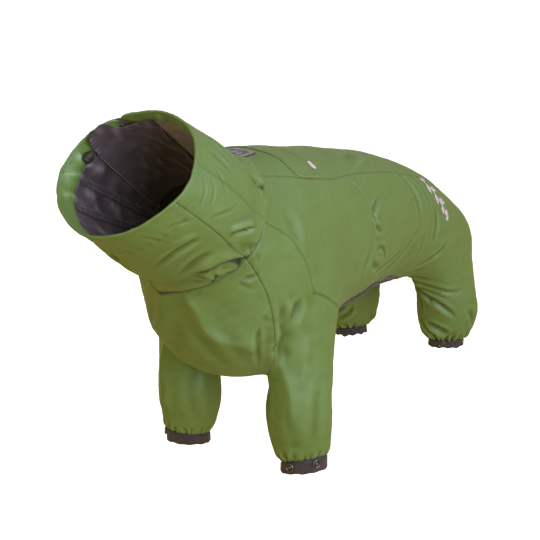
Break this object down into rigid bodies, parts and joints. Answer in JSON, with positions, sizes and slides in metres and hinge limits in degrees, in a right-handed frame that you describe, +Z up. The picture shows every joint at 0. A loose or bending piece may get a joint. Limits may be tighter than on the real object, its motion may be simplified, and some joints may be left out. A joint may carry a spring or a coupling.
{
  "type": "dog rain overalls",
  "caption": "Hollow rain coverall for a dog: cowl collar, four legs with snapped cuffs, back zip and an open rear, kept in its worn pose.",
  "frame": {"origin": "the inside of the back over the wearer's withers, on the garment's middle line, where the wearer holds it up", "axes": "+Z up, -Y towards the head, +X towards the wearer's left side"},
  "size_m": [0.2704, 0.8202, 0.4574],
  "materials": {
    "shell_cloth": "satin coated nylon, olive green with a soft sheen",
    "lining": "dark charcoal taffeta with a purple cast",
    "stretch_panel": "dark charcoal stretch cloth",
    "binding": "dark brown-grey elastic tape",
    "label_weave": "dark woven label, bare but for a woven border",
    "pale_tape": "pale woven tape",
    "zip": "dark coil zip on cloth tape",
    "hard_plastic": "dark moulded plastic",
    "snap_metal": "dark gunmetal ring snaps"
  },
  "bodies": {
    "root": {"back_left": "shell_cloth", "back_right": "shell_cloth", "belly": "stretch_panel", "chest": "shell_cloth", "collar_facing": "shell_cloth", "collar_lining": "lining", "collar_side_left": "shell_cloth", "collar_side_right": "shell_cloth", "collar_throat": "shell_cloth", "collar_top_left": "shell_cloth", "collar_top_right": "shell_cloth", "cord_lock": "hard_plastic", "cuff_front_left": "binding", "cuff_front_right": "binding", "cuff_rear_left": "binding", "cuff_rear_right": "binding", "flank_left": "shell_cloth", "flank_right": "shell_cloth", "flap_tag": "pale_tape", "leash_flap": "shell_cloth", "neck_label": "label_weave", "rear_binding": "binding", "seam_tape_low_left": "lining", "seam_tape_low_right": "lining", "seam_tape_top_left": "lining", "seam_tape_top_right": "lining", "shoulder_leg_left": "shell_cloth", "shoulder_leg_right": "shell_cloth", "snap_front_left_1": "snap_metal", "snap_front_left_2": "snap_metal", "snap_front_right_1": "snap_metal", "snap_front_right_2": "snap_metal", "snap_rear_left_1": "snap_metal", "snap_rear_left_2": "snap_metal", "snap_rear_right_1": "snap_metal", "snap_rear_right_2": "snap_metal", "thigh_leg_left": "shell_cloth", "thigh_leg_right": "shell_cloth", "zip_chain": "zip", "zip_guard": "lining", "zip_pull": "binding", "zip_slider": "snap_metal"}
  },
  "joints": []
}
